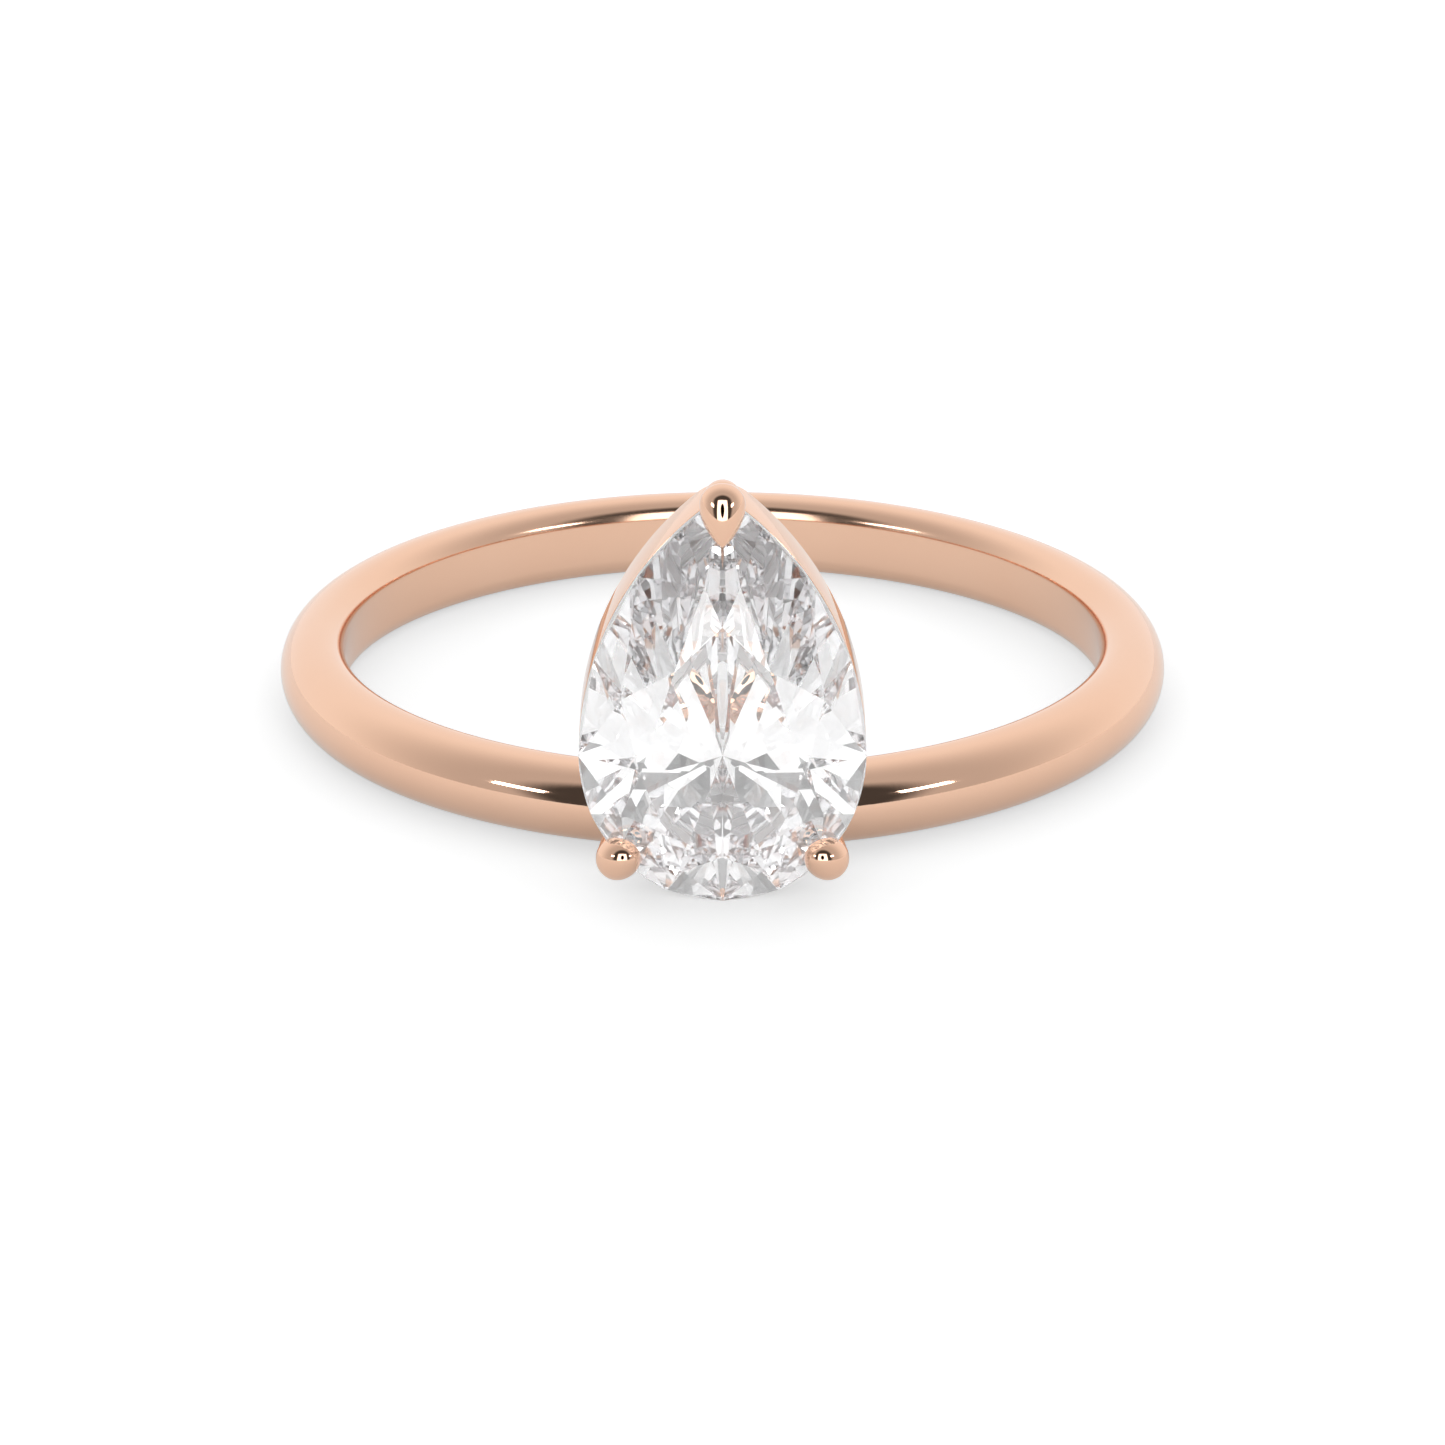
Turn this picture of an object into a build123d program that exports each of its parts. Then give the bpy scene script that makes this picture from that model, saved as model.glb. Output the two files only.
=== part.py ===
"""Pear-cut solitaire engagement ring: shank, two-rail basket head, three claws and a faceted stone.

Frame: origin at the centre of the finger bore, +Z along the bore, so that the shank lies flat.
The head stands out along -Y and the stone faces -Y, with its point towards +Z.
"""
from build123d import *
from math import atan2, cos, degrees, radians, sin
import os

os.makedirs("parts", exist_ok=True)

# ---- driving dimensions, in millimetres ----------------------------------------------------
# Shank: a D-shaped band with a flat land in the bore and well rounded inner edges.
BORE_RADIUS = 8.25
SHANK_THICKNESS = 1.39
SHANK_HEIGHT = 1.74
BORE_LAND = 0.84
INNER_ROUNDING = 0.52

# Stone: pear brilliant, measured from the line across its widest place.
STONE_WIDTH = 5.95
ROUND_END_LENGTH = 3.20
ROUND_END_RADIUS = 2.85
POINT_LENGTH = 5.66
CROWN_HEIGHT = 0.85
GIRDLE_THICKNESS = 0.20
PAVILION_DEPTH = 2.60
CULET_SHIFT = -0.20
TABLE_SHARE = 0.57
STAR_HEIGHT_SHARE = 0.69
LOWER_HALF_SHARE = 0.22

# Head: how far the girdle stands off the shank, and the rails that carry the claws.
GIRDLE_STANDOFF = 2.26
GALLERY_WALL = 0.55
GALLERY_DEPTH = 1.35
GALLERY_POINT_ROUNDING = 0.80
BASE_INSET = 0.90
BASE_WALL = 0.80
BASE_DEPTH = 0.65
BASE_POINT_ROUNDING = 1.00
SADDLE_DEPTH = 0.19
RAIL_EDGE_ROUNDING = 0.12

# Peg that locates the head in the shank.
PEG_DIAMETER = 0.45
PEG_REACH_IN_SHANK = 0.80
SOLDER_GAP = 0.015

# Claws: bent wire with a ball, or at the point of the stone a drop, over the crown.
CLAW_WIRE = 0.78
CLAW_BULGE = 0.24
CLAW_KNEE_DROP = 0.50
BALL_DIAMETER = 0.91
BALL_LIFT = 0.30
BALL_ANGLE = -40
DROP_RADIUS = 0.48
DROP_LENGTH = 0.91
DROP_SETBACK = 0.14
DROP_LIFT = 0.12
DROP_LEAN = 34

# ---- places worked out from them -----------------------------------------------------------
shank_radius = BORE_RADIUS + SHANK_THICKNESS
crest_radius = BORE_RADIUS + INNER_ROUNDING
half_width = STONE_WIDTH / 2
half_girdle = GIRDLE_THICKNESS / 2
flank_radius = (POINT_LENGTH**2 + half_width**2) / STONE_WIDTH
point_angle = degrees(atan2(POINT_LENGTH, flank_radius - half_width))
end_drop = ROUND_END_LENGTH - ROUND_END_RADIUS
shoulder_reach = half_width - ROUND_END_RADIUS
shoulder_radius = (half_width**2 + end_drop**2 - ROUND_END_RADIUS**2) / (2 * shoulder_reach)
shoulder_angle = -degrees(atan2(end_drop, shoulder_radius - half_width))

# The round end of the stone is level with the underside of the shank.
girdle_distance = shank_radius + GIRDLE_STANDOFF
head_height = ROUND_END_LENGTH - SHANK_HEIGHT / 2
head = Plane(origin=(0, -girdle_distance, head_height), x_dir=(1, 0, 0), z_dir=(0, -1, 0))

gallery_front = -half_girdle
base_back = -GIRDLE_STANDOFF - SADDLE_DEPTH
base_front = base_back + BASE_DEPTH
base_centre_inset = BASE_INSET + BASE_WALL / 2
peg_height = -ROUND_END_LENGTH + base_centre_inset


def outline_normal(angle):
    """Outward direction, in the head's plane, at a given angle from the widest line."""
    return Vector(cos(radians(angle)), sin(radians(angle)), 0)


def outline_point(angle, inset=0.0):
    """Point of the stone's right-hand outline whose outward normal has this angle.

    The outline is a flank arc above the widest line, a shoulder arc below it and the round end.
    """
    normal = outline_normal(angle)
    if angle > point_angle:
        return Vector(0, POINT_LENGTH - inset, 0)
    if angle >= 0:
        return Vector(half_width - flank_radius, 0, 0) + normal * (flank_radius - inset)
    if angle >= shoulder_angle:
        return Vector(half_width - shoulder_radius, 0, 0) + normal * (shoulder_radius - inset)
    return Vector(0, -end_drop, 0) + normal * (ROUND_END_RADIUS - inset)


def in_head(point):
    """Turn a point of the head's own frame into the ring's frame."""
    return head.from_local_coords(point)


def other_leg(hypotenuse, side):
    """Third side of a right-angled triangle."""
    return (hypotenuse**2 - side**2) ** 0.5


def on_side(point, side):
    """Point on the right-hand side (side 1) or its mirror image on the left (side -1)."""
    return Vector(side * point.X, point.Y, point.Z)


def pear_outline(inset=0.0, point_rounding=0.0):
    """The stone's outline as a face, drawn in by an inset, with its point rounded if wanted."""
    point = Vector(0, other_leg(flank_radius - inset, flank_radius - half_width))
    right_side = (
        (point, outline_point(point_angle / 2, inset), outline_point(0, inset)),
        (
            outline_point(0, inset),
            outline_point(shoulder_angle / 2, inset),
            outline_point(shoulder_angle, inset),
        ),
    )
    with BuildSketch() as outline:
        with BuildLine():
            for start, middle, end in right_side:
                ThreePointArc(start, middle, end)
                ThreePointArc(on_side(start, -1), on_side(middle, -1), on_side(end, -1))
            round_end_side = outline_point(shoulder_angle, inset)
            ThreePointArc(round_end_side, outline_point(-90, inset), on_side(round_end_side, -1))
        make_face()
        if point_rounding > 0:
            fillet(outline.vertices().sort_by(Axis.Y)[-1], point_rounding)
    return outline.sketch


# ---- shank ---------------------------------------------------------------------------------
outer_reach = shank_radius - crest_radius
half_land = BORE_LAND / 2
rounding_rise = SHANK_HEIGHT / 2 - half_land
peg_hole_mouth = Vector(0, -shank_radius, head_height + peg_height)
peg_end_y = -shank_radius + PEG_REACH_IN_SHANK

with BuildPart() as shank:
    with BuildSketch(Plane.XZ) as shank_section:
        with BuildLine():
            EllipticalCenterArc((crest_radius, 0), outer_reach, SHANK_HEIGHT / 2, -90, arc_size=180)
            EllipticalCenterArc((crest_radius, half_land), INNER_ROUNDING, rounding_rise, 90, arc_size=90)
            Line((BORE_RADIUS, half_land), (BORE_RADIUS, -half_land))
            EllipticalCenterArc((crest_radius, -half_land), INNER_ROUNDING, rounding_rise, 180, arc_size=90)
        make_face()
    revolve(axis=Axis.Z)
    with BuildSketch(Plane(origin=(0, peg_end_y, peg_hole_mouth.Z), z_dir=(0, -1, 0))):
        Circle(PEG_DIAMETER / 2 + SOLDER_GAP)
    extrude(amount=PEG_REACH_IN_SHANK + SADDLE_DEPTH, mode=Mode.SUBTRACT)


# ---- stone ---------------------------------------------------------------------------------
# Girdle stations on the right-hand side, from the round end to the point. Even stations carry
# a main facet and odd ones lie under a star. The left-hand side is the mirror image.
STATION_ANGLES = (-90, -66, -45, -22, 0, 18, 35, 47, 90)
centre = Vector(0, CULET_SHIFT, 0)
stations = [outline_point(angle) for angle in STATION_ANGLES]


def tangent_corner(index):
    """Meeting point of the outline's tangents at the two main stations beside an odd one."""
    normal_a = outline_normal(STATION_ANGLES[index - 1])
    normal_b = outline_normal(STATION_ANGLES[index + 1])
    reach_a = normal_a.dot(stations[index - 1])
    reach_b = normal_b.dot(stations[index + 1])
    det = normal_a.X * normal_b.Y - normal_a.Y * normal_b.X
    x = (reach_a * normal_b.Y - reach_b * normal_a.Y) / det
    y = (normal_a.X * reach_b - normal_b.X * reach_a) / det
    return Vector(x, y, 0)


def toward_centre(point, share, z):
    """Point at a share of the way out from the stone's centre line, at height z."""
    flat = centre + (point - centre) * share
    return Vector(flat.X, flat.Y, z)


def facet(a, b, c):
    """Plane through three points of the head's frame, facing away from the stone's middle."""
    normal = (b - a).cross(c - a).normalized()
    if normal.dot(a - centre) < 0:
        normal = normal * -1
    return a, normal


def main_facet(index, edge_z, share, z):
    """Facet along the outline's tangent at a main station, rising to a share of the outline."""
    normal = outline_normal(STATION_ANGLES[index])
    tangent = Vector(-normal.Y, normal.X, 0)
    edge = toward_centre(stations[index], 1, edge_z)
    return facet(edge, edge + tangent, toward_centre(stations[index], share, z))


def half_facets(index, edge_z, ridge):
    """Two facets beside a star station, from the girdle up to the mains' ridge."""
    under_ridge = toward_centre(stations[index], 1, edge_z)
    pairs = []
    for side in (index - 1, index + 1):
        corner = toward_centre(stations[side], 1, edge_z)
        pairs.append(facet(corner, under_ridge, ridge))
    return pairs


def mirrored(facet_cut):
    """The same facet on the left-hand side of the stone."""
    a, normal = facet_cut
    return Vector(-a.X, a.Y, a.Z), Vector(-normal.X, normal.Y, normal.Z)


table_z = half_girdle + CROWN_HEIGHT
culet_z = -half_girdle - PAVILION_DEPTH
star_z = half_girdle + CROWN_HEIGHT * STAR_HEIGHT_SHARE
star_share = 1 - (1 - TABLE_SHARE) * STAR_HEIGHT_SHARE
lower_z = culet_z + PAVILION_DEPTH * LOWER_HALF_SHARE
last = len(STATION_ANGLES) - 1

cuts = []
for main in range(0, last + 1, 2):
    crown_main = main_facet(main, half_girdle, TABLE_SHARE, table_z)
    pavilion_main = main_facet(main, -half_girdle, 0, culet_z)
    cuts += [crown_main, pavilion_main]
    if main not in (0, last):
        cuts += [mirrored(crown_main), mirrored(pavilion_main)]
for star in range(1, last, 2):
    corner = tangent_corner(star)
    crown_ridge = toward_centre(corner, star_share, star_z)
    pavilion_ridge = toward_centre(corner, LOWER_HALF_SHARE, lower_z)
    table_edge = [toward_centre(stations[side], TABLE_SHARE, table_z) for side in (star - 1, star + 1)]
    beside = [facet(*table_edge, crown_ridge)]
    beside += half_facets(star, half_girdle, crown_ridge)
    beside += half_facets(star, -half_girdle, pavilion_ridge)
    cuts += beside
    cuts += [mirrored(cut) for cut in beside]

with BuildPart() as pear_diamond:
    with BuildSketch(head.offset(culet_z)):
        add(pear_outline())
    extrude(amount=table_z - culet_z)
    for cut_point, cut_normal in cuts:
        world_normal = in_head(cut_normal) - head.origin
        facet_plane = Plane(origin=in_head(cut_point), z_dir=world_normal)
        split(bisect_by=facet_plane, keep=Keep.BOTTOM)


# ---- claws ---------------------------------------------------------------------------------
def claw_wire(foot, knee, tip):
    """Bent round wire from the base rail, out round the girdle and up to the claw's tip."""
    with BuildPart() as wire:
        with BuildLine() as route:
            Bezier(in_head(foot), in_head(knee), in_head(tip))
        with BuildSketch(Plane(origin=route.line @ 0, x_dir=(1, 0, 0), z_dir=route.line % 0)):
            Circle(CLAW_WIRE / 2)
        sweep(path=route.line)
    return wire.part


claw_foot_z = base_back + BASE_DEPTH / 2
ball_seat = outline_point(BALL_ANGLE)
ball_centre = Vector(ball_seat.X, ball_seat.Y, BALL_LIFT)
ball_knee = outline_point(BALL_ANGLE, -CLAW_BULGE) + Vector(0, 0, -CLAW_KNEE_DROP)
ball_foot = outline_point(BALL_ANGLE, base_centre_inset) + Vector(0, 0, claw_foot_z)

right_wire = claw_wire(ball_foot, ball_knee, ball_centre)

with BuildPart() as right_claw:
    add(right_wire)
    with Locations(in_head(ball_centre)):
        Sphere(BALL_DIAMETER / 2)
    add(pear_diamond.part, mode=Mode.SUBTRACT)
    add(shank.part, mode=Mode.SUBTRACT)

with BuildPart() as left_claw:
    add(right_claw.part)
    mirror(about=Plane.YZ, mode=Mode.REPLACE)

# The claw at the point ends in a drop: a ball drawn out to a blunt tip that runs down the crown.
drop_centre = Vector(0, POINT_LENGTH - DROP_SETBACK, DROP_LIFT)
drop_knee = Vector(0, POINT_LENGTH + CLAW_BULGE, -CLAW_KNEE_DROP)
drop_foot = Vector(0, POINT_LENGTH - base_centre_inset / cos(radians(point_angle)), claw_foot_z)
tip_wire = claw_wire(drop_foot, drop_knee, drop_centre)
drop_plane = Plane(origin=in_head(drop_centre), x_dir=(1, 0, 0), z_dir=(0, -1, 0))
drop_plane = drop_plane.rotated((-DROP_LEAN, 0, 0))
tangent_y = -(DROP_RADIUS**2) / DROP_LENGTH
tangent_x = other_leg(DROP_RADIUS, tangent_y)

with BuildPart() as tip_claw:
    add(tip_wire)
    with BuildSketch(drop_plane):
        with BuildLine():
            ThreePointArc((0, DROP_RADIUS), (DROP_RADIUS, 0), (tangent_x, tangent_y))
            Line((tangent_x, tangent_y), (0, -DROP_LENGTH))
            Line((0, -DROP_LENGTH), (0, DROP_RADIUS))
        make_face()
    revolve(axis=Axis(drop_plane.origin, drop_plane.y_dir))
    add(pear_diamond.part, mode=Mode.SUBTRACT)
    add(shank.part, mode=Mode.SUBTRACT)

claws = [right_claw.part, left_claw.part, tip_claw.part]


# ---- rails ---------------------------------------------------------------------------------
def rail_blank(front_z, depth, inset, wall, point_rounding):
    """Pear-shaped rail: a wall inside the drawn-in outline, with its point and back edge rounded."""
    outer_outline = pear_outline(inset, point_rounding)
    inner_outline = pear_outline(inset + wall, point_rounding - wall)
    with BuildPart() as blank:
        with BuildSketch(head.offset(front_z - depth)):
            add(outer_outline)
            add(inner_outline, mode=Mode.SUBTRACT)
        extrude(amount=depth)
        back_face = blank.faces().sort_by(Axis.Y)[-1]
        fillet(back_face.outer_wire().edges(), RAIL_EDGE_ROUNDING)
    return blank.part


gallery_blank = rail_blank(gallery_front, GALLERY_DEPTH, 0, GALLERY_WALL, GALLERY_POINT_ROUNDING)
base_blank = rail_blank(base_front, BASE_DEPTH, BASE_INSET, BASE_WALL, BASE_POINT_ROUNDING)

# ---- peg: through the base rail into a blind hole in the shank -------------------------------
with BuildPart() as head_peg:
    with BuildSketch(Plane(origin=(0, peg_end_y, peg_hole_mouth.Z), z_dir=(0, -1, 0))):
        Circle(PEG_DIAMETER / 2)
    extrude(amount=PEG_REACH_IN_SHANK + GIRDLE_STANDOFF + base_front)

with BuildPart() as gallery_rail:
    add(gallery_blank)
    add(pear_diamond.part, mode=Mode.SUBTRACT)
    for fitted_claw in claws:
        add(fitted_claw, mode=Mode.SUBTRACT)

# The base rail is relieved for the stone too, for a head that is set lower than this one.
with BuildPart() as base_rail:
    add(base_blank)
    add(pear_diamond.part, mode=Mode.SUBTRACT)
    add(shank.part, mode=Mode.SUBTRACT)
    add(head_peg.part, mode=Mode.SUBTRACT)
    for fitted_claw in claws:
        add(fitted_claw, mode=Mode.SUBTRACT)

NODES = {
    "shank": shank,
    "head_peg": head_peg,
    "base_rail": base_rail,
    "gallery_rail": gallery_rail,
    "left_claw": left_claw,
    "right_claw": right_claw,
    "tip_claw": tip_claw,
    "pear_diamond": pear_diamond,
}
for node_name, node in NODES.items():
    node.part.label = node_name
    export_step(node.part, f"parts/{node_name}.step")
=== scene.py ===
"""Visual model of a pear-cut solitaire ring: polished rose gold surfaces round a faceted stone.

Lengths in the property groups are in metres, in the ring's own frame: +Z runs along the finger
bore and the head stands out along -Y.
"""

import bmesh
import bpy
import numpy as np
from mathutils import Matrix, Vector


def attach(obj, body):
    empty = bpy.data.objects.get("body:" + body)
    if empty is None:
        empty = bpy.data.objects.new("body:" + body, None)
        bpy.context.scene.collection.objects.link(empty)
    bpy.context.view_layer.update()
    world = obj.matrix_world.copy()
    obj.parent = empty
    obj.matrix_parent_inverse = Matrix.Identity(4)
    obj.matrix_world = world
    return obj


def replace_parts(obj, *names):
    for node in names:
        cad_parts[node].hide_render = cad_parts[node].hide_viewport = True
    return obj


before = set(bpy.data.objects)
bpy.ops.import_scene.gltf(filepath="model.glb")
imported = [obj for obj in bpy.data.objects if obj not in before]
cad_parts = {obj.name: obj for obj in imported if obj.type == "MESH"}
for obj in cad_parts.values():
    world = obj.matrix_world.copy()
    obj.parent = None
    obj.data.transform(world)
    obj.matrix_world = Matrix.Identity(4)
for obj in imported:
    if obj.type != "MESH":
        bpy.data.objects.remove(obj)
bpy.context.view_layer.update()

bl_info = {
    "name": "Pear Solitaire Ring",
    "version": (1, 0, 0),
    "blender": (4, 5, 0),
    "location": "3D View > Sidebar > Ring",
    "description": "Builds the rose gold surfaces, the stone's finish and the studio of a ring",
    "category": "Object",
}

BODY = "root"

# The metal is cut back by the stone grown by this factor, so that the two never meet.
STONE_GROWTH = 1.006
# Faces that meet at more than this are shaded as an edge.
SHARP_ANGLE = np.radians(38)
# Share of a turned piece's radius that is left beside its pole, so that no face there is flat.
POLE_SHARE = 1e-3
# A claw's end is this much shorter than round behind its middle.
BACK_SHARE = 0.92
# Light bounces that a ray may need to come back out of the stone.
STONE_BOUNCES = 48


# ---- sizes and colours a user would change ---------------------------------------------------
class BandSizes(bpy.types.PropertyGroup):
    bore_radius: bpy.props.FloatProperty(
        name="Bore radius", description="Radius of the finger bore",
        default=0.00825, unit="LENGTH", precision=5,
    )
    crest_radius: bpy.props.FloatProperty(
        name="Crest radius", description="Radius at which the band is tallest",
        default=0.00877, unit="LENGTH", precision=5,
    )
    outer_radius: bpy.props.FloatProperty(
        name="Outer radius", description="Radius of the outside of the band",
        default=0.00964, unit="LENGTH", precision=5,
    )
    height: bpy.props.FloatProperty(
        name="Height", description="Height of the band along the bore",
        default=0.00174, unit="LENGTH", precision=5,
    )
    land: bpy.props.FloatProperty(
        name="Land", description="Height of the flat land in the bore",
        default=0.00084, unit="LENGTH", precision=5,
    )


class StoneOutline(bpy.types.PropertyGroup):
    width: bpy.props.FloatProperty(
        name="Width", description="Width of the stone across its widest line",
        default=0.00595, unit="LENGTH", precision=5,
    )
    round_end: bpy.props.FloatProperty(
        name="Round end", description="From the widest line to the round end",
        default=0.00320, unit="LENGTH", precision=5,
    )
    round_radius: bpy.props.FloatProperty(
        name="Round end radius", description="Radius of the round end",
        default=0.00285, unit="LENGTH", precision=5,
    )
    point: bpy.props.FloatProperty(
        name="Point", description="From the widest line to the point",
        default=0.00566, unit="LENGTH", precision=5,
    )
    pavilion: bpy.props.FloatProperty(
        name="Pavilion", description="Depth of the stone below its girdle",
        default=0.00260, unit="LENGTH", precision=5,
    )
    culet_shift: bpy.props.FloatProperty(
        name="Culet shift", description="Culet's place along the stone",
        default=-0.00020, unit="LENGTH", precision=5,
    )
    girdle: bpy.props.FloatProperty(
        name="Girdle", description="Thickness of the girdle",
        default=0.00020, unit="LENGTH", precision=5,
    )
    standoff: bpy.props.FloatProperty(
        name="Stand-off", description="From the outside of the band to the girdle",
        default=0.00226, unit="LENGTH", precision=5,
    )


class RailSizes(bpy.types.PropertyGroup):
    gallery_wall: bpy.props.FloatProperty(
        name="Gallery wall", description="Wall of the rail under the girdle",
        default=0.00055, unit="LENGTH", precision=5,
    )
    gallery_depth: bpy.props.FloatProperty(
        name="Gallery depth", description="Depth of the rail under the girdle",
        default=0.00135, unit="LENGTH", precision=5,
    )
    gallery_rounding: bpy.props.FloatProperty(
        name="Gallery point", description="Radius at the gallery's point",
        default=0.00080, unit="LENGTH", precision=5,
    )
    base_inset: bpy.props.FloatProperty(
        name="Base inset", description="How far the base rail is drawn in",
        default=0.00090, unit="LENGTH", precision=5,
    )
    base_wall: bpy.props.FloatProperty(
        name="Base wall", description="Wall of the base rail",
        default=0.00080, unit="LENGTH", precision=5,
    )
    base_depth: bpy.props.FloatProperty(
        name="Base depth", description="Depth of the base rail",
        default=0.00065, unit="LENGTH", precision=5,
    )
    base_rounding: bpy.props.FloatProperty(
        name="Base point", description="Radius at the base rail's point",
        default=0.00100, unit="LENGTH", precision=5,
    )
    saddle: bpy.props.FloatProperty(
        name="Saddle", description="How deep the base rail is let into the band",
        default=0.00019, unit="LENGTH", precision=5,
    )
    edge: bpy.props.FloatProperty(
        name="Edge", description="Radius of the rails' polished edges",
        default=0.00012, unit="LENGTH", precision=5,
    )


class ClawSizes(bpy.types.PropertyGroup):
    wire: bpy.props.FloatProperty(
        name="Wire", description="Diameter of the claw wire",
        default=0.00078, unit="LENGTH", precision=5,
    )
    bulge: bpy.props.FloatProperty(
        name="Bulge", description="How far the wire's knee stands out from the girdle",
        default=0.00024, unit="LENGTH", precision=5,
    )
    knee_drop: bpy.props.FloatProperty(
        name="Knee drop", description="How far the knee is below the girdle",
        default=0.00050, unit="LENGTH", precision=5,
    )
    ball: bpy.props.FloatProperty(
        name="Ball", description="Diameter of the two side claws' balls",
        default=0.00091, unit="LENGTH", precision=5,
    )
    lift: bpy.props.FloatProperty(
        name="Lift", description="Height of the balls above the girdle's middle",
        default=0.00030, unit="LENGTH", precision=5,
    )
    ball_angle: bpy.props.FloatProperty(
        name="Ball angle", description="Where the side claws grip, from the widest line",
        default=np.radians(-40), subtype="ANGLE",
    )
    drop_radius: bpy.props.FloatProperty(
        name="Drop radius", description="Radius of the drop at the point",
        default=0.00048, unit="LENGTH", precision=5,
    )
    drop_length: bpy.props.FloatProperty(
        name="Drop length", description="From the drop's middle to its tip",
        default=0.00091, unit="LENGTH", precision=5,
    )
    drop_setback: bpy.props.FloatProperty(
        name="Drop setback", description="How far the drop sits in from the point",
        default=0.00014, unit="LENGTH", precision=5,
    )
    drop_lean: bpy.props.FloatProperty(
        name="Drop lean", description="How far the drop leans with the crown",
        default=np.radians(34), subtype="ANGLE",
    )
    drop_lift: bpy.props.FloatProperty(
        name="Drop lift", description="Height of the drop above the girdle's middle",
        default=0.00012, unit="LENGTH", precision=5,
    )
    ball_length: bpy.props.FloatProperty(
        name="Ball length", description="From a side claw's middle to its nose",
        default=0.00060, unit="LENGTH", precision=5,
    )
    ball_lean: bpy.props.FloatProperty(
        name="Ball lean", description="How far the side claws' noses stand up",
        default=np.radians(50), subtype="ANGLE",
    )


class Finish(bpy.types.PropertyGroup):
    gold: bpy.props.FloatVectorProperty(
        name="Rose gold", description="Colour of the polished metal",
        default=(0.877, 0.568, 0.410), subtype="COLOR",
    )
    gold_deep: bpy.props.FloatVectorProperty(
        name="Deep rose gold", description="Colour where the alloy is richer in copper",
        default=(0.868, 0.556, 0.398), subtype="COLOR",
    )
    stone: bpy.props.FloatVectorProperty(
        name="Stone", description="Colour of the stone",
        default=(0.990, 0.990, 0.992), subtype="COLOR",
    )
    stone_index: bpy.props.FloatProperty(
        name="Refractive index", description="How strongly the stone bends light",
        default=2.417, min=1.0,
    )
    brilliance: bpy.props.FloatProperty(
        name="Brilliance", description="How much of the light the pavilion sends back at any angle",
        default=0.92, min=0.0, max=1.0,
    )
    polish: bpy.props.FloatProperty(
        name="Polish", description="Roughness of the brightest metal",
        default=0.03, min=0.0, max=1.0,
    )


class Studio(bpy.types.PropertyGroup):
    pitch: bpy.props.FloatProperty(
        name="Camera pitch", description="How far the camera looks down",
        default=np.radians(20.4), subtype="ANGLE",
    )
    distance: bpy.props.FloatProperty(
        name="Camera distance", description="From the camera to the ring's middle",
        default=0.225, unit="LENGTH",
    )
    lens: bpy.props.FloatProperty(
        name="Lens", description="Focal length of the camera",
        default=256.7, unit="CAMERA",
    )
    drop: bpy.props.FloatProperty(
        name="Camera drop", description="How far the line of sight passes below the ring's middle",
        default=0.001295, unit="LENGTH", precision=6,
    )
    dark_rise: bpy.props.FloatProperty(
        name="Dark rise", description="Height of the dark middle of the light in front",
        default=np.radians(20), subtype="ANGLE",
    )
    strip_turn: bpy.props.FloatProperty(
        name="Strip turn", description="How far each strip light stands to the side",
        default=np.radians(54), subtype="ANGLE",
    )
    strip_rise: bpy.props.FloatProperty(
        name="Strip rise", description="How high each strip light stands",
        default=np.radians(21), subtype="ANGLE",
    )
    strip_away: bpy.props.FloatProperty(
        name="Strip distance", description="From the ring to each strip light",
        default=0.5, unit="LENGTH",
    )
    strip_size: bpy.props.FloatVectorProperty(
        name="Strip size", description="Width and height of each strip light",
        default=(0.120, 0.050), size=2, unit="LENGTH",
    )
    strip_power: bpy.props.FloatProperty(
        name="Strip power", description="Power of each strip light",
        default=0.20, unit="POWER",
    )
    floor_glow: bpy.props.FloatProperty(
        name="Floor glow", description="Light that comes up through the floor",
        default=0.40, min=0.0,
    )
    floor_lift: bpy.props.FloatProperty(
        name="Floor lift", description="Extra light of the floor as a backdrop",
        default=0.20, min=0.0,
    )
    floor_colour: bpy.props.FloatVectorProperty(
        name="Floor", description="Colour of the floor",
        default=(0.62, 0.62, 0.62), subtype="COLOR",
    )
    floor_size: bpy.props.FloatProperty(
        name="Floor size", description="Side of the square floor",
        default=1.2, unit="LENGTH",
    )


class RingSettings(bpy.types.PropertyGroup):
    band: bpy.props.PointerProperty(
        name="Band", description="Sizes of the band", type=BandSizes
    )
    outline: bpy.props.PointerProperty(
        name="Outline", description="Outline of the stone", type=StoneOutline
    )
    rails: bpy.props.PointerProperty(
        name="Rails", description="Sizes of the two rails", type=RailSizes
    )
    claws: bpy.props.PointerProperty(
        name="Claws", description="Sizes of the claws", type=ClawSizes
    )
    finish: bpy.props.PointerProperty(
        name="Finish", description="Colours and polish", type=Finish
    )
    studio: bpy.props.PointerProperty(
        name="Studio", description="Camera, floor and light", type=Studio
    )


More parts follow.
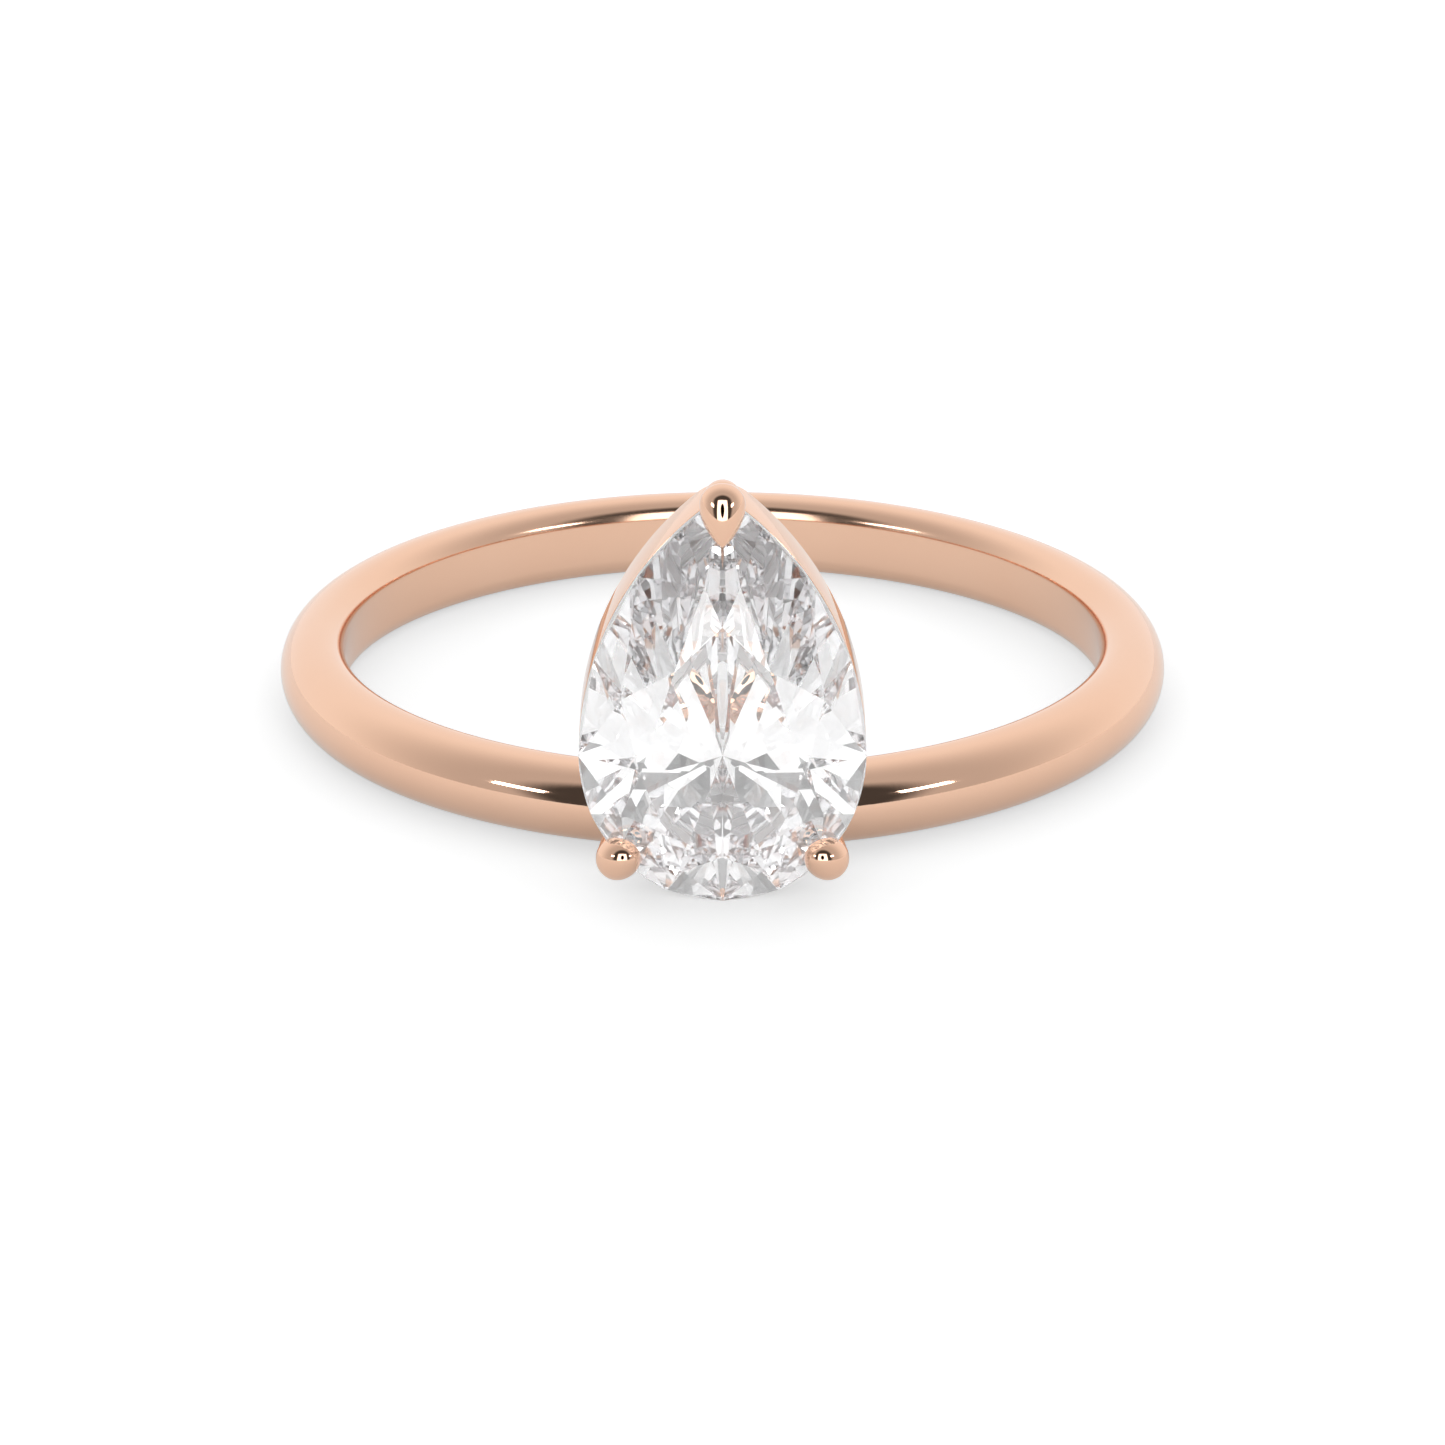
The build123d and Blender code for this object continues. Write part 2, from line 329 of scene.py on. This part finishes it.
# ---- surfaces --------------------------------------------------------------------------------
def surface_piece(name, points, close_around=True, caps=False):
    """Mesh from a grid of points: rows run along the path and columns round the section.

    The columns always close. The rows close too where close_around is set; otherwise the first and
    last rows may each end in a pole, a single point that caps asks for at the row's middle.
    """
    rows, columns = points.shape[:2]
    vertices = points.reshape(-1, 3)
    row = np.arange(rows if close_around else rows - 1)[:, None]
    column = np.arange(columns)[None, :]
    next_row = (row + 1) % rows
    next_column = (column + 1) % columns
    quads = np.stack(
        [
            row * columns + column,
            row * columns + next_column,
            next_row * columns + next_column,
            next_row * columns + column,
        ],
        axis=-1,
    )
    faces = quads.reshape(-1, 4).tolist()
    if caps:
        start, end = len(vertices), len(vertices) + 1
        vertices = np.concatenate([vertices, [points[0].mean(axis=0), points[-1].mean(axis=0)]])
        ring = np.arange(columns)
        ahead = (ring + 1) % columns
        last = (rows - 1) * columns
        faces += np.stack([ahead, ring, np.full(columns, start)], axis=-1).tolist()
        faces += np.stack([last + ring, last + ahead, np.full(columns, end)], axis=-1).tolist()
    mesh = bpy.data.meshes.new(name)
    mesh.from_pydata(vertices.tolist(), [], faces)
    mesh.shade_smooth()
    mesh.validate()
    return linked(name, mesh)


def linked(name, data):
    """A new object of the data, in the scene."""
    made = bpy.data.objects.new(name, data)
    bpy.context.scene.collection.objects.link(made)
    return made


def grown_stone():
    """The stone's solid as a cutter: each point moved out from the stone's middle by a factor."""
    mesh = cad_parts["pear_diamond"].data.copy()
    places = np.empty(len(mesh.vertices) * 3)
    mesh.vertices.foreach_get("co", places)
    places = places.reshape(-1, 3)
    middle = (places.min(axis=0) + places.max(axis=0)) / 2
    mesh.vertices.foreach_set("co", (middle + (places - middle) * STONE_GROWTH).ravel())
    shell = bmesh.new()
    shell.from_mesh(mesh)
    bmesh.ops.remove_doubles(shell, verts=shell.verts, dist=1e-6)
    flat = np.radians(0.5)
    bmesh.ops.dissolve_limit(shell, angle_limit=flat, verts=shell.verts, edges=shell.edges)
    shell.to_mesh(mesh)
    shell.free()
    return linked("cutter", mesh)


def cleared_for_stone(piece):
    """Cut away what would reach into the stone, leaving the thinnest gap all round it."""
    cutter = grown_stone()
    cut = piece.modifiers.new("bearing", "BOOLEAN")
    cut.operation = "DIFFERENCE"
    cut.solver = "EXACT"
    cut.object = cutter
    depsgraph = bpy.context.evaluated_depsgraph_get()
    mesh = bpy.data.meshes.new_from_object(piece.evaluated_get(depsgraph))
    piece.modifiers.clear()
    piece.data = mesh
    mesh.shade_smooth()
    mesh.set_sharp_from_angle(angle=SHARP_ANGLE)
    bpy.data.objects.remove(cutter)
    return piece


def joined(name, *pieces):
    """One piece holding the meshes of several, each still a closed shell."""
    whole = bmesh.new()
    for piece in pieces:
        whole.from_mesh(piece.data)
        bpy.data.objects.remove(piece)
    mesh = bpy.data.meshes.new(name)
    whole.to_mesh(mesh)
    whole.free()
    mesh.shade_smooth()
    mesh.set_sharp_from_angle(angle=SHARP_ANGLE)
    return linked(name, mesh)


def band_section(sizes, columns=192):
    """Radius and height round the band's D-shaped section, anticlockwise from its outermost point.

    The outer half is a half ellipse about the crest. Each inner corner is a quarter ellipse that
    runs from the crest down to the flat land, so its cosine is the way in and its sine the height.
    """
    half = sizes.height / 2
    half_land = sizes.land / 2
    turn = np.linspace(0, 2 * np.pi, columns, endpoint=False)
    outward = np.cos(turn)
    upward = np.sin(turn)
    reach_out = sizes.outer_radius - sizes.crest_radius
    reach_in = sizes.crest_radius - sizes.bore_radius
    radius = sizes.crest_radius + np.where(outward > 0, reach_out, reach_in) * outward
    inner_height = np.sign(upward) * half_land + (half - half_land) * upward
    inner_height = np.where(np.abs(upward) < 1e-9, 0, inner_height)
    height = np.where(outward > 0, half * upward, inner_height)
    return radius, height


def band_surface(sizes, rows=512):
    """The section turned about the bore: x and y are its radius times cosine and sine."""
    radius, height = band_section(sizes)
    turn = np.linspace(0, 2 * np.pi, rows, endpoint=False)[:, None]
    places = np.broadcast_arrays(radius * np.cos(turn), radius * np.sin(turn), height)
    return surface_piece("band", np.stack(places, axis=-1)[:, ::-1])


class PearPath:
    """The stone's outline, walked by the direction of its outward normal.

    The outline is made of arcs that meet tangent: the round end, a shoulder and a flank on each
    side, and a rounding at the point. Each place is its arc's centre plus radius times normal.
    """

    def __init__(self, outline, inset, rounding, rows=720):
        half = outline.width / 2
        end_drop = outline.round_end - outline.round_radius
        flank = flank_radius(outline)
        shoulder = half**2 + end_drop**2 - outline.round_radius**2
        shoulder = shoulder / (2 * (half - outline.round_radius))
        shoulder_angle = -np.arctan2(end_drop, shoulder - half)
        nose = np.sqrt((flank - inset - rounding) ** 2 - (flank - half) ** 2)
        nose_angle = np.arctan2(nose, flank - half)
        walk = np.linspace(-np.pi / 2, 3 * np.pi / 2, rows, endpoint=False)
        side = np.where(walk > np.pi / 2, -1, 1)
        angle = np.where(walk > np.pi / 2, np.pi - walk, walk)
        parts = [angle <= shoulder_angle, angle <= 0, angle <= nose_angle]
        centre_x = np.select(parts, [0, half - shoulder, half - flank], 0)
        centre_y = np.select(parts, [-end_drop, 0, 0], nose)
        radius = np.select(parts, [outline.round_radius, shoulder, flank], inset + rounding) - inset
        self.normal = np.stack([side * np.cos(angle), np.sin(angle)], axis=-1)
        self.place = np.stack([side * centre_x, centre_y], axis=-1) + radius[:, None] * self.normal
        self.from_culet = ((self.place - [0, outline.culet_shift]) * self.normal).sum(axis=-1)


def flank_radius(outline):
    """Radius of the arc from the widest line to the point: its chord squared over the width."""
    return (outline.point**2 + (outline.width / 2) ** 2) / outline.width


def in_head(settings, across, along, out):
    """Point of the head's own frame turned into the ring's: across is x, along is z, out is -y."""
    girdle_y = -(settings.band.outer_radius + settings.outline.standoff)
    widest_z = settings.outline.round_end - settings.band.height / 2
    return np.stack(np.broadcast_arrays(across, girdle_y - out, widest_z + along), axis=-1)


def rounded_corners(steps=7):
    """Section of a rail, point by point: its corner, and its direction from the corner's centre.

    A corner is 1 or 0 across and 1 or 0 out. The directions are the cosine and sine of a turn that
    goes on by a quarter at each corner.
    """
    corner = np.repeat([(1, 1), (0, 1), (0, 0), (1, 0)], steps, axis=0)
    turn = np.arange(4)[:, None] * np.pi / 2 + np.linspace(0, np.pi / 2, steps)
    return corner, np.stack([np.cos(turn), np.sin(turn)], axis=-1).reshape(-1, 2)


def rail_surface(name, settings, path, wall, front, depth, edge, bearing):
    """A rounded rectangle carried round the pear path.

    Across the wall a point moves against the path's normal. Where a bearing is cut for the stone,
    the front face falls inwards at the pavilion's own slope, depth over distance from the culet.
    """
    corner, direction = rounded_corners()
    inward = np.where(corner[:, 0] > 0, edge, wall - edge) - edge * direction[:, 0]
    slope = settings.outline.pavilion / path.from_culet if bearing else 0 * path.from_culet
    top = front - slope[:, None] * inward[None, :]
    out = np.where(corner[:, 1] > 0, top - edge, front - depth + edge) + edge * direction[:, 1]
    flat = path.place[:, None, :] - inward[None, :, None] * path.normal[:, None, :]
    points = in_head(settings, flat[..., 0], flat[..., 1], out)
    return surface_piece(name, points[:, ::-1])


def turned(settings, name, spine, radius, side, front, columns):
    """Circles about a spine: each place is the spine's plus radius times a turn of two directions.

    Both ends close in a pole.
    """
    turn = np.linspace(0, 2 * np.pi, columns, endpoint=False)[None, :, None]
    ring = np.cos(turn) * side + np.sin(turn) * front
    points = spine[:, None, :] + radius[:, None, None] * ring
    points = in_head(settings, points[..., 0], points[..., 1], points[..., 2])
    return surface_piece(name, points[:, ::-1], close_around=False, caps=True)


def bent_wire(settings, foot, knee, tip, radius, steps=64, end_steps=24):
    """Round wire along a three-point curve, with half a ball past its tip.

    The place is foot, knee and tip blended by squares of the way along. Past the tip the wire runs
    on by the sine of a quarter turn, and its radius falls with the cosine.
    """
    foot, knee, tip = (np.array(place, dtype=float) for place in (foot, knee, tip))
    onward = (tip - knee) / np.linalg.norm(tip - knee)
    along = np.linspace(0, 1, steps)[:, None]
    curve = foot * (1 - along) ** 2 + 2 * knee * along * (1 - along) + tip * along**2
    tangent = 2 * (knee - foot) * (1 - along) + 2 * (tip - knee) * along
    quarter = np.linspace(0, np.pi / 2, end_steps)[1:]
    curve = np.concatenate([curve, tip + radius * np.sin(quarter)[:, None] * onward])
    tangent = np.concatenate([tangent, np.broadcast_to(onward, (len(quarter), 3))])
    tangent = tangent / np.linalg.norm(tangent, axis=-1, keepdims=True)
    share = np.concatenate([np.ones(steps), np.maximum(np.cos(quarter), POLE_SHARE)])
    sideways = np.cross(knee - foot, tip - knee)
    sideways = sideways / np.linalg.norm(sideways)
    upward = np.cross(tangent, sideways)[:, None, :]
    return turned(settings, "wire", curve, radius * share, sideways, upward, 48)


def claw_end(settings, centre, inward, lean, radius, length, taper, fullness):
    """The shaped end of a claw: a ball at the back, drawn out to a nose, turned about its length.

    Behind the middle the outline is a half circle, a little flattened. In front its radius is the
    ball's times one less the share of the way to the nose, raised first to the taper and then to
    the fullness. The length points inwards over the stone and leans outwards by the lean angle.
    """
    back = np.linspace(-np.pi / 2, 0, 28)[1:-1]
    share = np.sin(np.linspace(0, np.pi / 2, 44))[:-1]
    heel = BACK_SHARE * radius
    along = np.concatenate([[-heel], heel * np.sin(back), length * share, [length]])
    body = np.concatenate([np.cos(back), (1 - share**taper) ** fullness])
    out = radius * np.concatenate([[POLE_SHARE], body, [POLE_SHARE]])
    inward = np.array([*inward, 0.0])
    axis = np.cos(lean) * inward + np.sin(lean) * np.array([0, 0, 1])
    side = np.array([-inward[1], inward[0], 0.0])
    spine = centre + along[:, None] * axis
    return turned(settings, "end", spine, out, side, np.cross(axis, side), 64)


# ---- materials -------------------------------------------------------------------------------
class Value:
    """Wraps a node's output socket, so that arithmetic on it adds the Math nodes."""

    def __init__(self, maker, socket):
        self.maker = maker
        self.socket = socket

    def beside(self, name):
        """Another output of the same node."""
        return Value(self.maker, self.socket.node.outputs[name])

    def _math(self, operation, *values):
        return self.maker.node("ShaderNodeMath", {"operation": operation}, *values)

    def __add__(self, other):
        return self._math("ADD", self, other)

    __radd__ = __add__

    def __sub__(self, other):
        return self._math("SUBTRACT", self, other)

    def __rsub__(self, other):
        return self._math("SUBTRACT", other, self)

    def __mul__(self, other):
        return self._math("MULTIPLY", self, other)

    __rmul__ = __mul__

    def __truediv__(self, other):
        return self._math("DIVIDE", self, other)

    def absolute(self):
        return self._math("ABSOLUTE", self)

    def root(self):
        return self._math("SQRT", self)

    def higher(self, other):
        return self._math("MAXIMUM", self, other)

    def between(self, low, high):
        """0 below low and 1 above high, eased in between."""
        settings = {"interpolation_type": "SMOOTHSTEP"}
        return self.maker.node("ShaderNodeMapRange", settings, self, low, high, 0.0, 1.0)


class Maker:
    """Adds nodes to one material's or world's tree."""

    def __init__(self, owner):
        owner.use_nodes = True
        self.tree = owner.node_tree
        self.tree.nodes.clear()

    def node(self, kind, settings=None, *inputs, output=0, **named):
        """One node: its type, its settings, then the values or links of its sockets."""
        made = self.tree.nodes.new(kind)
        for key, value in (settings or {}).items():
            setattr(made, key, value)
        for index, value in enumerate(inputs):
            self._put(made.inputs[index], value)
        for name, value in named.items():
            self._put(made.inputs[name.replace("_", " ")], value)
        return Value(self, made.outputs[output]) if made.outputs else made

    def _put(self, socket, value):
        if isinstance(value, Value):
            self.tree.links.new(value.socket, socket)
        elif value is not None:
            socket.default_value = value

    def place(self):
        """The object's own coordinates."""
        return self.node("ShaderNodeTexCoord", output="Object")

    def noise(self, scale, detail, roughness):
        """Fractal noise over the object; its scale is in repeats to the metre."""
        return self.node(
            "ShaderNodeTexNoise", None,
            Vector=self.place(), Scale=scale, Detail=detail, Roughness=roughness,
        )

    def mix_colour(self, share, one, other):
        """One colour turning into the other; the sockets between are for numbers and vectors."""
        settings = {"data_type": "RGBA"}
        between = [None] * 5
        return self.node("ShaderNodeMix", settings, share, *between, one, other, output=2)


def opaque(colour):
    return (colour[0], colour[1], colour[2], 1.0)


def grey(strength):
    return (strength, strength, strength, 1.0)


def rose_gold_material(settings):
    """Polished alloy: faint copper clouds, fine polishing lines and a softer finish in the bore."""
    finish, band = settings.finish, settings.band
    material = bpy.data.materials.new("rose_gold_polish")
    maker = Maker(material)
    x = maker.node("ShaderNodeSeparateXYZ", None, maker.place())
    y = x.beside("Y")
    from_axis = (x * x + y * y).root()
    bore = 1 - from_axis.between(band.bore_radius + 0.00006, band.crest_radius - 0.0002)
    clouds = maker.noise(scale=380.0, detail=3.0, roughness=0.5)
    hairlines = maker.noise(scale=9000.0, detail=4.0, roughness=0.6)
    tint = clouds.between(0.35, 0.65)
    colour = maker.mix_colour(tint, opaque(finish.gold), opaque(finish.gold_deep))
    roughness = finish.polish + 0.02 * clouds + 0.03 * hairlines + 0.10 * bore
    bump = maker.node("ShaderNodeBump", None, Strength=0.04, Distance=0.00001, Height=hairlines)
    shader = maker.node(
        "ShaderNodeBsdfPrincipled", None,
        Base_Color=colour, Metallic=1.0, Roughness=roughness, Normal=bump,
    )
    maker.node("ShaderNodeOutputMaterial", None, shader)
    return material


def diamond_material(settings):
    """Clear brilliant-cut stone, with its girdle left finely ground.

    The facets below the girdle are part mirror, which keeps the light inside the stone.
    """
    finish, outline = settings.finish, settings.outline
    material = bpy.data.materials.new("diamond_polish")
    maker = Maker(material)
    y = maker.node("ShaderNodeSeparateXYZ", None, maker.place(), output="Y")
    behind = y + (settings.band.outer_radius + outline.standoff)
    half_girdle = outline.girdle / 2
    ground = 1 - behind.absolute().between(half_girdle * 0.80, half_girdle)
    grain = maker.noise(scale=20000.0, detail=2.0, roughness=0.5)
    pavilion = behind.between(half_girdle, half_girdle * 1.5)
    shader = maker.node(
        "ShaderNodeBsdfPrincipled", None,
        Base_Color=opaque(finish.stone), Metallic=finish.brilliance * pavilion,
        Roughness=ground * (0.25 + 0.2 * grain), IOR=finish.stone_index, Transmission_Weight=1.0,
    )
    maker.node("ShaderNodeOutputMaterial", None, shader)
    return material


def floor_material(settings):
    """Matt white card with a very faint tooth, lit from below a little.

    It glows more where it is seen directly or through the stone than where it lights the metal.
    """
    studio = settings.studio
    material = bpy.data.materials.new("studio_card")
    maker = Maker(material)
    seen = maker.node("ShaderNodeLightPath", output="Is Camera Ray")
    backdrop = seen + seen.beside("Is Transmission Ray")
    tooth = maker.noise(scale=900.0, detail=3.0, roughness=0.5)
    dim, bright = grey(studio.floor_glow), grey(studio.floor_glow + studio.floor_lift)
    shader = maker.node(
        "ShaderNodeBsdfPrincipled", None,
        Base_Color=opaque(studio.floor_colour), Roughness=0.85 + 0.1 * tooth,
        Emission_Color=maker.mix_colour(backdrop, dim, bright), Emission_Strength=1.0,
    )
    maker.node("ShaderNodeOutputMaterial", None, shader)
    return material


def finished(mesh, name, make, settings):
    """Give a mesh the named material alone; the material is made once and then shared."""
    mesh.materials.clear()
    mesh.materials.append(bpy.data.materials.get(name) or make(settings))


def dress_gold(piece, settings):
    """Give a piece the polished gold and its body."""
    finished(piece.data, "rose_gold_polish", rose_gold_material, settings)
    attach(piece, BODY)


# ---- operators -------------------------------------------------------------------------------
class RING_OT_band(bpy.types.Operator):
    """Turn the band"""

    bl_idname = "ring.band"
    bl_label = "Band"

    def execute(self, context):
        settings = context.scene.ring
        piece = band_surface(settings.band)
        dress_gold(piece, settings)
        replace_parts(piece, "shank")
        return {"FINISHED"}


class RING_OT_rails(bpy.types.Operator):
    """Carry the gallery rail and the base rail round the pear"""

    bl_idname = "ring.rails"
    bl_label = "Rails"

    def execute(self, context):
        settings = context.scene.ring
        outline, rails = settings.outline, settings.rails
        path = PearPath(outline, 0.0, rails.gallery_rounding)
        gallery = rail_surface(
            "gallery", settings, path, rails.gallery_wall, -outline.girdle / 2,
            rails.gallery_depth, rails.edge / 2, bearing=True,
        )
        dress_gold(cleared_for_stone(gallery), settings)
        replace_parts(gallery, "gallery_rail")
        path = PearPath(outline, rails.base_inset, rails.base_rounding)
        base = rail_surface(
            "base", settings, path, rails.base_wall, rails.base_depth - base_back(settings),
            rails.base_depth, rails.edge, bearing=False,
        )
        dress_gold(base, settings)
        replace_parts(base, "base_rail")
        return {"FINISHED"}


def base_back(settings):
    """How far the back of the base rail is behind the girdle's middle."""
    return settings.outline.standoff + settings.rails.saddle


def claw(settings, name, foot, knee, centre, end):
    """A claw's wire and its shaped end as one piece.

    The foot and the knee are given in the girdle's plane. The foot lies behind it in the middle of
    the base rail, and the knee as far behind it as the knee drop.
    """
    rails, claws = settings.rails, settings.claws
    foot = (*foot, rails.base_depth / 2 - base_back(settings))
    wire = bent_wire(settings, foot, (*knee, -claws.knee_drop), centre, claws.wire / 2)
    piece = joined(name, cleared_for_stone(wire), cleared_for_stone(end))
    dress_gold(piece, settings)
    return piece


class RING_OT_claws(bpy.types.Operator):
    """Bend the three claws up from the base rail and over the girdle"""

    bl_idname = "ring.claws"
    bl_label = "Claws"

    def execute(self, context):
        settings = context.scene.ring
        outline, claws = settings.outline, settings.claws
        foot_inset = settings.rails.base_inset + settings.rails.base_wall / 2
        end_drop = outline.round_end - outline.round_radius
        radii = outline.round_radius + np.array([-foot_inset, claws.bulge, 0.0])
        across = radii * np.cos(claws.ball_angle)
        along = radii * np.sin(claws.ball_angle) - end_drop
        sides = (("right_ball_claw", "right_claw", 1), ("left_ball_claw", "left_claw", -1))
        for name, node, side in sides:
            foot, knee, seat = np.stack([side * across, along], axis=-1)
            centre = np.array([*seat, claws.lift])
            inward = (-side * np.cos(claws.ball_angle), -np.sin(claws.ball_angle))
            end = claw_end(
                settings, centre, inward, claws.ball_lean, claws.ball / 2, claws.ball_length,
                taper=2.0, fullness=0.5,
            )
            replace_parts(claw(settings, name, foot, knee, centre, end), node)

        point_angle = np.arctan2(outline.point, flank_radius(outline) - outline.width / 2)
        foot = (0, outline.point - foot_inset / np.cos(point_angle))
        knee = (0, outline.point + claws.bulge)
        centre = np.array([0, outline.point - claws.drop_setback, claws.drop_lift])
        end = claw_end(
            settings, centre, (0, -1), claws.drop_lean, claws.drop_radius, claws.drop_length,
            taper=1.8, fullness=0.8,
        )
        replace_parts(claw(settings, "drop_claw", foot, knee, centre, end), "tip_claw")
        return {"FINISHED"}


class RING_OT_stone(bpy.types.Operator):
    """Polish the stone, and finish the peg that hides under it"""

    bl_idname = "ring.stone"
    bl_label = "Stone and peg"

    def execute(self, context):
        settings = context.scene.ring
        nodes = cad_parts
        finished(nodes["pear_diamond"].data, "diamond_polish", diamond_material, settings)
        finished(nodes["head_peg"].data, "rose_gold_polish", rose_gold_material, settings)
        return {"FINISHED"}


def studio_light(maker, studio):
    """Strength of the light from each direction: bright behind the ring, dim above, dark in front.

    It falls in two eased steps with the cosine of the angle from the dark middle. In front of that
    stands a bright panel with an oval opening, placed by its slopes aside and above. Light that
    leaves through the stone comes from a brighter tent with a softer grey panel, and what is seen
    directly is the plain backdrop.
    """
    direction = maker.node("ShaderNodeTexCoord")
    dark_middle = (0, -np.cos(studio.dark_rise), np.sin(studio.dark_rise))
    settings = {"operation": "DOT_PRODUCT"}
    facing = maker.node("ShaderNodeVectorMath", settings, direction, dark_middle, output="Value")
    x = maker.node("ShaderNodeSeparateXYZ", None, direction)
    ahead = (0 - x.beside("Y")).higher(0.01)
    aside = x.absolute() / ahead
    above = x.beside("Z") / ahead
    behind, above_step, front_step = 1.04, 0.43, 0.54
    above_share = facing.between(-0.50, 0.45)
    front_share = facing.between(0.56, 0.74)
    tent = behind - above_step * above_share - front_step * front_share
    panel = (1 - aside.between(0.50, 0.58)) * (1 - above.between(0.88, 1.00))
    opening_width, opening_height, opening_rise = 0.19, 0.30, 0.37
    across, up = aside / opening_width, (above - opening_rise) / opening_height
    around_opening = (across * across + up * up).between(0.8, 1.1)
    panel_light, soft_panel_light = 2.6, 0.80
    metal = tent + panel * (panel_light * around_opening - tent)
    least, brightness = 0.20, 1.36
    stone = least + brightness * (tent + panel * (soft_panel_light * around_opening - tent))
    seen = maker.node("ShaderNodeLightPath", output="Is Camera Ray")
    ring_light = metal + seen.beside("Is Transmission Ray") * (stone - metal)
    return ring_light + seen * (1 - ring_light)


def softbox(place, size, power):
    """Rectangular lamp at a place, turned to face the ring's middle."""
    lamp = bpy.data.lights.new("strip", "AREA")
    lamp.shape = "RECTANGLE"
    lamp.size, lamp.size_y = size
    lamp.energy = power
    box = linked("strip", lamp)
    box.location = place
    box.visible_camera = False
    box.rotation_euler = (-place).to_track_quat("-Z", "Y").to_euler()


def studio_world(studio):
    """The world that carries the studio's light."""
    world = bpy.data.worlds.new("studio_light")
    maker = Maker(world)
    light = studio_light(maker, studio)
    background = maker.node("ShaderNodeBackground", None, grey(1.0), light)
    maker.node("ShaderNodeOutputWorld", None, background)
    return world


class RING_OT_stage(bpy.types.Operator):
    """Lay the floor, light it softly and place the camera"""

    bl_idname = "ring.stage"
    bl_label = "Stage"

    def execute(self, context):
        scene = context.scene
        settings, studio = scene.ring, scene.ring.studio
        half = studio.floor_size / 2
        z = -settings.band.height / 2
        mesh = bpy.data.meshes.new("floor")
        corners = [(-half, -half, z), (half, -half, z), (half, half, z), (-half, half, z)]
        mesh.from_pydata(corners, [], [(0, 1, 2, 3)])
        finished(mesh, "studio_card", floor_material, settings)
        linked("floor", mesh)

        scene.world = studio_world(studio)
        for turn in (-studio.strip_turn, studio.strip_turn):
            level = np.cos(studio.strip_rise)
            direction = (np.sin(turn) * level, -np.cos(turn) * level, np.sin(studio.strip_rise))
            softbox(Vector(direction) * studio.strip_away, studio.strip_size, studio.strip_power)
        scene.view_settings.view_transform = "Standard"
        scene.cycles.max_bounces = STONE_BOUNCES
        scene.cycles.glossy_bounces = STONE_BOUNCES
        scene.cycles.transmission_bounces = STONE_BOUNCES
        scene.cycles.caustics_reflective = False

        camera = linked("camera", bpy.data.cameras.new("camera"))
        camera.data.lens = studio.lens
        camera.data.sensor_width = 36
        camera.data.clip_start = studio.distance / 100
        camera.data.clip_end = studio.distance * 100
        sight = Vector((0, np.cos(studio.pitch), -np.sin(studio.pitch)))
        upward = Vector((0, np.sin(studio.pitch), np.cos(studio.pitch)))
        camera.location = -sight * studio.distance - upward * studio.drop
        camera.rotation_euler = sight.to_track_quat("-Z", "Y").to_euler()
        scene.camera = camera
        return {"FINISHED"}


class RING_PT_panel(bpy.types.Panel):
    """Lists the ring's pieces in the sidebar"""

    bl_idname = "RING_PT_panel"
    bl_label = "Ring"
    bl_space_type = "VIEW_3D"
    bl_region_type = "UI"
    bl_category = "Ring"

    def draw(self, context):
        for operator in OPERATORS:
            self.layout.operator(operator.bl_idname)


OPERATORS = (RING_OT_band, RING_OT_rails, RING_OT_claws, RING_OT_stone, RING_OT_stage)
GROUPS = (BandSizes, StoneOutline, RailSizes, ClawSizes, Finish, Studio, RingSettings)
CLASSES = (*GROUPS, *OPERATORS, RING_PT_panel)


def register():
    for each in CLASSES:
        bpy.utils.register_class(each)
    bpy.types.Scene.ring = bpy.props.PointerProperty(type=RingSettings)


def unregister():
    del bpy.types.Scene.ring
    for each in reversed(CLASSES):
        bpy.utils.unregister_class(each)


def main():
    register()
    bpy.ops.ring.band()
    bpy.ops.ring.rails()
    bpy.ops.ring.claws()
    bpy.ops.ring.stone()
    bpy.ops.ring.stage()


if __name__ == "__main__":
    main()
